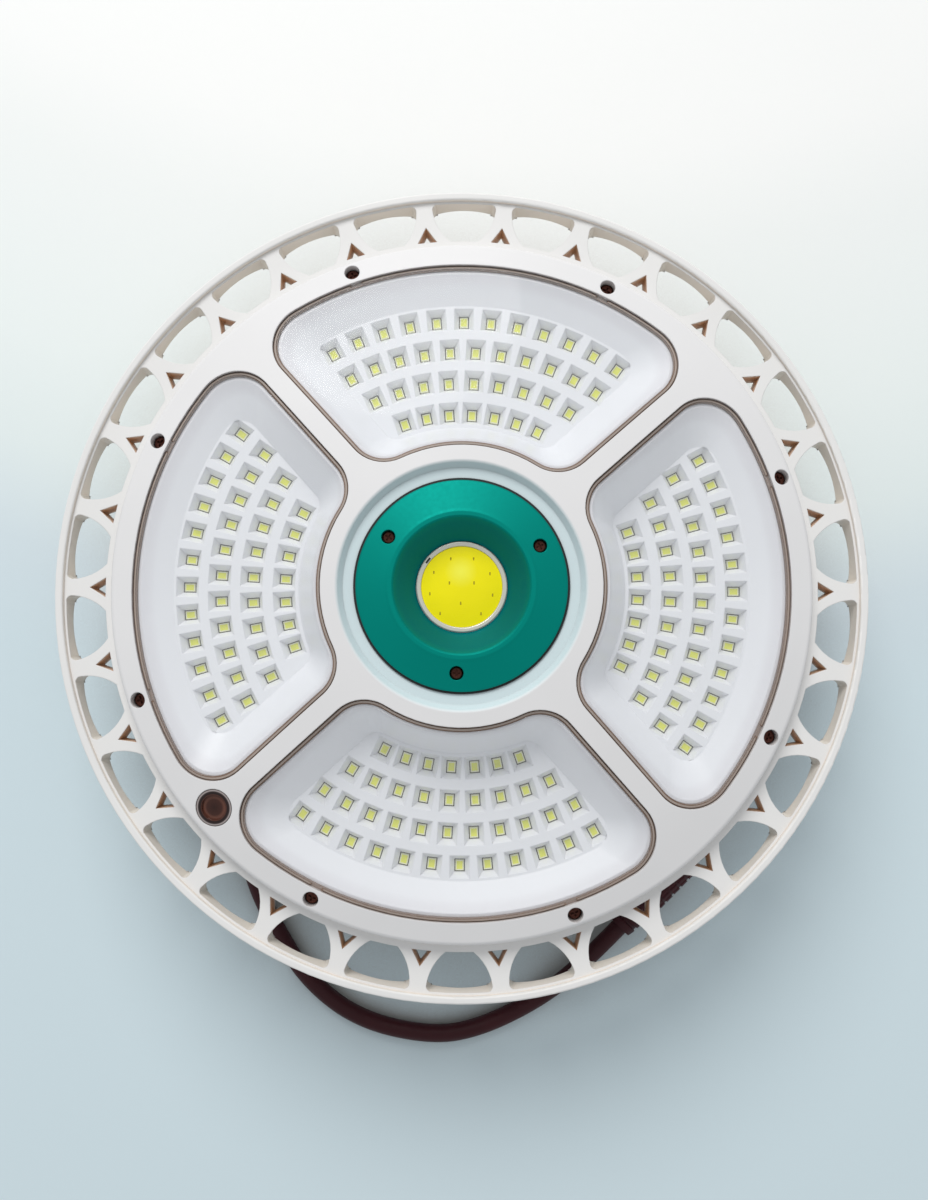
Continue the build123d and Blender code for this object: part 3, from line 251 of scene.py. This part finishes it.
def make_material(name, color, rough=0.5, metal=0.0, vary=0.04, grain=900.0, bump=0.02, edge=0.0,
                  coat=0.0, blotch=30.0, rough_vary=0.08, alpha=1.0, ior=1.46, specular=0.5,
                  shade=None, rings=None, side=None):
    """Principled material with a fine grain, a slow colour drift and an uneven gloss.

    shade is a painted shade in corners, rings are tints by the distance from an axis, side is a
    painted warm shade on upright walls, and edge is the radius that the light rounds the edges to.
    """
    mat = bpy.data.materials.new(name)
    mat.use_nodes = True
    tree = mat.node_tree
    shader = tree.nodes["Principled BSDF"]
    for key, value in (("Metallic", metal), ("Coat Weight", coat), ("Coat Roughness", COAT_ROUGH),
                       ("IOR", ior), ("Specular IOR Level", specular), ("Alpha", alpha)):
        shader.inputs[key].default_value = value
    place = add_node(tree, "ShaderNodeTexCoord").outputs["Object"]
    slow = add_node(tree, "ShaderNodeTexNoise", Scale=blotch, Detail=SLOW_DETAIL)
    fine = add_node(tree, "ShaderNodeTexNoise", Scale=grain, Detail=FINE_DETAIL)
    for noise in (slow, fine):
        tree.links.new(place, noise.inputs["Vector"])
    darker = [max(0.0, c * (1 - vary)) for c in color]
    lighter = [min(1.0, c * (1 + vary)) for c in color]
    paint = add_ramp(tree, slow.outputs["Fac"], list(zip(DRIFT_STOPS, (darker, lighter))))
    if rings:
        paint = tinted(tree, 1.0, paint, ring_tint(tree, place, *rings))
    # Painted shade in corners, darker where a point is less open
    if shade:
        tint, *openness = shade
        paint = tinted(tree, painted_shade_share(tree, *openness), paint, (*tint, 1))
    # Painted warm shade on upright walls
    if side:
        paint = tinted(tree, painted_wall_shade_share(tree), paint, (*side, 1))
    tree.links.new(paint, shader.inputs["Base Color"])
    gloss = add_node(tree, "ShaderNodeMapRange", To_Min=max(SMOOTHEST, rough - rough_vary),
                     To_Max=min(1.0, rough + rough_vary))
    tree.links.new(fine.outputs["Fac"], gloss.inputs["Value"])
    tree.links.new(gloss.outputs["Result"], shader.inputs["Roughness"])
    relief = add_node(tree, "ShaderNodeBump", Strength=bump, Distance=GRAIN_DEPTH * MM)
    tree.links.new(fine.outputs["Fac"], relief.inputs["Height"])
    if edge:
        soft = add_node(tree, "ShaderNodeBevel", samples=4, Radius=edge * MM)
        tree.links.new(soft.outputs["Normal"], relief.inputs["Normal"])
    tree.links.new(relief.outputs["Normal"], shader.inputs["Normal"])
    return mat


def dress(names, mat):
    """Material on every slot of the named solids."""
    for name in names:
        for entry in nodes[name].material_slots:
            entry.material = mat


def dress_windows(stem, mat):
    """Material on the solid of this name at each of the four windows."""
    dress([f"{stem}_{name}" for name in WINDOW_NAMES], mat)


def new_object(name, data, mat):
    """Object of a mesh or a curve in the scene, with its material."""
    obj = bpy.data.objects.new(name, data)
    bpy.context.scene.collection.objects.link(obj)
    data.materials.append(mat)
    return obj


def mesh_object(name, bm, mat):
    """Object of a finished bmesh, which is freed."""
    mesh = bpy.data.meshes.new(name)
    bm.to_mesh(mesh)
    bm.free()
    return new_object(name, mesh, mat)


def add_piece(name, bm, mat):
    """Piece of the light made in mesh code."""
    piece = mesh_object(name, bm, mat)
    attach(piece, "light")
    return piece


def add_block(bm, place, size, foot, top, chamfer):
    """Block with a chamfered top rim, on the given frame."""
    rings = []
    for z, cut in ((foot, 0.0), (top - chamfer, 0.0), (top, chamfer)):
        x = size[0] / 2 - cut
        y = size[1] / 2 - cut
        corners = ((-x, -y, z), (x, -y, z), (x, y, z), (-x, y, z))
        rings.append([bm.verts.new(place @ (Vector(corner) * MM)) for corner in corners])
    bm.faces.new(reversed(rings[0]))
    bm.faces.new(rings[-1])
    for low, high in zip(rings, rings[1:]):
        for a in range(4):
            b = (a + 1) % 4
            bm.faces.new((low[a], low[b], high[b], high[a]))


def led_places():
    """Frame of every package, X along the row and Y outward."""
    for k in range(len(WINDOW_NAMES)):
        for radius, count, step in LED_ROWS:
            for i in range(count):
                angle = math.radians(90 * k + (i - (count - 1) / 2) * step)
                turn = Matrix.Rotation(angle, 4, "Z")
                yield turn @ Matrix.Translation(Vector((0, radius, CHIP_FOOT_Z)) * MM)


make_camera()

# Lead
jacket = make_material("cord_jacket", (0.040, 0.004, 0.007), rough=0.45, vary=0.2, bump=0.05, grain=500,
                       specular=0.3)
spline_data = bpy.data.curves.new("lead_line", "CURVE")
spline_data.dimensions = "3D"
spline_data.bevel_depth = CORD_R * MM
spline_data.bevel_resolution = 8
spline_data.resolution_u = 24
spline_data.use_fill_caps = True
spline = spline_data.splines.new("NURBS")
spline.points.add(len(CORD_POINTS) - 1)
for point, (x, y, z) in zip(spline.points, CORD_POINTS):
    point.co = (x * MM, y * MM, z * MM, 1.0)
spline.order_u = 3
spline.use_endpoint_u = True
lead = new_object("lead_tail", spline_data, jacket)
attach(lead, "light")
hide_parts("lead_cord")
dress(["inner_lead", "plug_boot"], jacket)

# Housing and ring
dress(["rear_housing"],
      make_material("cream_body", (0.80, 0.795, 0.80), rough=0.45, vary=0.015, bump=0.03, edge=0.5,
                    specular=0.3, shade=BODY_SHADE))
dress(["front_cover"],
      make_material("cream_front", (0.80, 0.795, 0.80), rough=0.45, vary=0.015, bump=0.03, edge=0.5,
                    specular=0.3, shade=BODY_SHADE, rings=DISH_REFLECTION_RINGS))
dress(["rib_ring"],
      make_material("cream_ring", (0.83, 0.825, 0.815), rough=0.48, vary=0.015, bump=0.03, edge=0.4,
                    specular=0.3, shade=RING_SHADE, side=WALL_PAINTED_SHADE))

# Windows
dress_windows("lens",
              make_material("lens_clear", (0.93, 0.96, 0.98), rough=0.05, vary=0.01, bump=0.0,
                            rough_vary=0.02, alpha=0.08, edge=0.2, ior=1.49))
dress_windows("lens_seal",
              make_material("brown_strip", (0.46, 0.405, 0.365), rough=0.45, vary=0.1, bump=0.03,
                            edge=0.15, shade=SEAL_SHADE))
dress_windows("reflector_tray",
              make_material("tray_white", (0.83, 0.845, 0.88), rough=0.36, vary=0.012, bump=0.01,
                            edge=0.45, shade=TRAY_SHADE))
# Boards near black, so the gaps round the packages show as painted shade
dress_windows("led_board",
              make_material("board_painted_shade", (0.03, 0.03, 0.025), rough=0.5, vary=0.05))

# Cap and round lamp
dress(["centre_cap"],
      make_material("cap_green", (0.0, 0.26, 0.215), rough=0.50, metal=0.6, vary=0.03, bump=0.02,
                    edge=0.4, specular=0.12, rings=CUP_SHADE_RINGS))
dress(["cob_ring"],
      make_material("ring_silver", (0.72, 0.70, 0.62), rough=0.30, vary=0.03, metal=0.35, bump=0.004,
                    grain=300, edge=0.25, rough_vary=0.02))
dress(["cob_phosphor"],
      make_material("phosphor", (0.97, 0.94, 0.09), rough=0.30, vary=0.03, coat=0.12, specular=0.15,
                    blotch=120, rings=PHOSPHOR_PAINTED_HIGHLIGHT))

# Sensor, plug, button and bail
dress(["sensor_lens"],
      make_material("smoked_lens", PLAIN, rough=0.10, vary=0.02, bump=0.0, coat=0.1, edge=0.2,
                    specular=0.3, rings=SENSOR_RINGS_AND_HIGHLIGHT))
dress(["plug_body", "coupling_nut"],
      make_material("plug_plastic", (0.050, 0.005, 0.008), rough=0.40, vary=0.15, bump=0.04, edge=0.1,
                    specular=0.3))
dress(["plug_barrel"],
      make_material("contact_plated", (0.72, 0.70, 0.64), rough=0.2, metal=1.0, vary=0.05))
dress(["power_button"],
      make_material("button_grey", (0.21, 0.215, 0.22), rough=0.45, vary=0.05, bump=0.05, edge=0.2))
dress(["hanging_bail"],
      make_material("wire_plated", (0.60, 0.60, 0.61), rough=0.16, metal=1.0, vary=0.04, bump=0.02))

# Seals
dress(["cap_seal", "gland_seal"],
      make_material("rubber_black", (0.012, 0.012, 0.013), rough=0.6, vary=0.2, bump=0.08))
dress(["cover_seal", "housing_seal", "button_bezel"],
      make_material("rubber_grey", (0.16, 0.16, 0.165), rough=0.6, vary=0.1, bump=0.08))
dress(["plug_seal"],
      make_material("seal_orange", (0.50, 0.10, 0.02), rough=0.5, vary=0.08))

# Screws and other metal
dress(["cap_screws", "housing_screws"],
      make_material("screw_bronze", (0.09, 0.028, 0.018), rough=0.34, metal=0.7, vary=0.25, bump=0.08,
                    edge=0.1))
dress(["carrier_screws", "battery_strap", "strap_screws", "cradle_screws", "board_screws"],
      make_material("screw_zinc", (0.55, 0.55, 0.53), rough=0.32, metal=1.0, vary=0.06, bump=0.05,
                    edge=0.1))
dress(["board_carrier", "cob_board"],
      make_material("plate_aluminium", (0.62, 0.63, 0.64), rough=0.38, metal=1.0, vary=0.04, bump=0.04))
dress(["cob_heat_sink"],
      make_material("cast_aluminium", (0.42, 0.43, 0.44), rough=0.55, metal=1.0, vary=0.1, bump=0.2))

# Electrical pieces inside
moulded = make_material("moulded_black", (0.016, 0.016, 0.017), rough=0.45, vary=0.1, bump=0.1)
dress(["battery_cradle", "board_components", "gland_body", "gland_nut", "gland_locknut", "button_switch"],
      moulded)
dress(["sensor_board", "control_board", "switch_board"],
      make_material("board_green", (0.01, 0.10, 0.04), rough=0.35, vary=0.15))
dress(["battery_cells"],
      make_material("cell_sleeve", (0.02, 0.09, 0.32), rough=0.35, vary=0.05, coat=0.3))
dress(["inner_wires"],
      make_material("wire_red", (0.30, 0.012, 0.01), rough=0.4, vary=0.08))

# LED packages: a pale case with a resin window in each
case_mat = make_material("led_case", (0.86, 0.87, 0.58), rough=0.35, vary=0.05, bump=0.02)
resin_mat = make_material("led_resin", (0.80, 0.83, 0.10), rough=0.30, vary=0.06, blotch=300, specular=0.3)
case_bm = bmesh.new()
resin_bm = bmesh.new()
for place in led_places():
    add_block(case_bm, place, CHIP_SIZE, 0.0, CASE_HEIGHT, CASE_CHAMFER)
    add_block(resin_bm, place, RESIN_SIZE, RESIN_FOOT, CHIP_HEIGHT, RESIN_CHAMFER)
cases = add_piece("led_cases", case_bm, case_mat)
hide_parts("led_chips")
add_piece("led_windows", resin_bm, resin_mat)

# Dies of the round lamp, and a dark block on its ring as a painted shade of a small notch
picture_turn = Matrix.Rotation(CAM_ROLL, 4, "Z")
die_mat = make_material("die_olive", (0.42, 0.34, 0.02), rough=0.4, vary=0.15, specular=0.2)
die_bm = bmesh.new()
for x, y in DIE_PLACES:
    sag = PHOSPHOR_DOME_R - math.sqrt(PHOSPHOR_DOME_R ** 2 - x ** 2 - y ** 2)
    place = picture_turn @ Matrix.Translation(Vector((x, y, PHOSPHOR_TOP_Z - sag)) * MM)
    add_block(die_bm, place, DIE_SIZE, -DIE_SUNK, DIE_PROUD, DIE_CHAMFER)
add_piece("cob_dies", die_bm, die_mat)
tab_bm = bmesh.new()
tab_turn = picture_turn @ Matrix.Rotation(TAB_ANGLE, 4, "Z")
place = tab_turn @ Matrix.Translation(Vector((TAB_RADIUS, 0, RING_TOP_Z)) * MM)
add_block(tab_bm, place, TAB_SIZE, -TAB_SUNK, TAB_PROUD, TAB_CHAMFER)
add_piece("cob_notch_shade", tab_bm, moulded)

# Floor, with painted light that is paler behind the lamp and a painted shadow under it
floor_mat = make_material("table_top", PLAIN, rough=0.6, vary=0.01, blotch=6, bump=0.02, grain=300,
                          specular=0.2, shade=TABLE_SHADE, rings=TABLE_PAINTED_LIGHT)
floor_bm = bmesh.new()
bmesh.ops.create_grid(floor_bm, x_segments=2, y_segments=2, size=FLOOR_HALF)
floor = mesh_object("floor", floor_bm, floor_mat)
floor.location.z = -FLOOR_DROP

# Key light
key_data = bpy.data.lights.new("key", "AREA")
key_data.shape = "DISK"
key_data.size = KEY_SIZE
key_data.energy = KEY_POWER
key_data.color = KEY_COLOR
key = bpy.data.objects.new("key", key_data)
key.location = KEY_AT
key.rotation_euler = (Vector(KEY_AIM) - Vector(KEY_AT)).to_track_quat("-Z", "Y").to_euler()
bpy.context.scene.collection.objects.link(key)

# Sky, paler where it is seen than the light that it gives
world = bpy.data.worlds.new("studio")
world.use_nodes = True
tree = world.node_tree
sky = tree.nodes["Background"]
sky.inputs["Color"].default_value = (*SKY_COLOR, 1)
sky.inputs["Strength"].default_value = SKY_STRENGTH
seen_sky = add_node(tree, "ShaderNodeBackground", Color=(*SEEN_SKY_COLOR, 1), Strength=SEEN_SKY_STRENGTH)
choice = add_node(tree, "ShaderNodeMixShader")
tree.links.new(add_node(tree, "ShaderNodeLightPath").outputs["Is Camera Ray"], choice.inputs[0])
tree.links.new(sky.outputs[0], choice.inputs[1])
tree.links.new(seen_sky.outputs[0], choice.inputs[2])
tree.links.new(choice.outputs[0], tree.nodes["World Output"].inputs["Surface"])
bpy.context.scene.world = world
bpy.context.scene.view_settings.view_transform = "Standard"
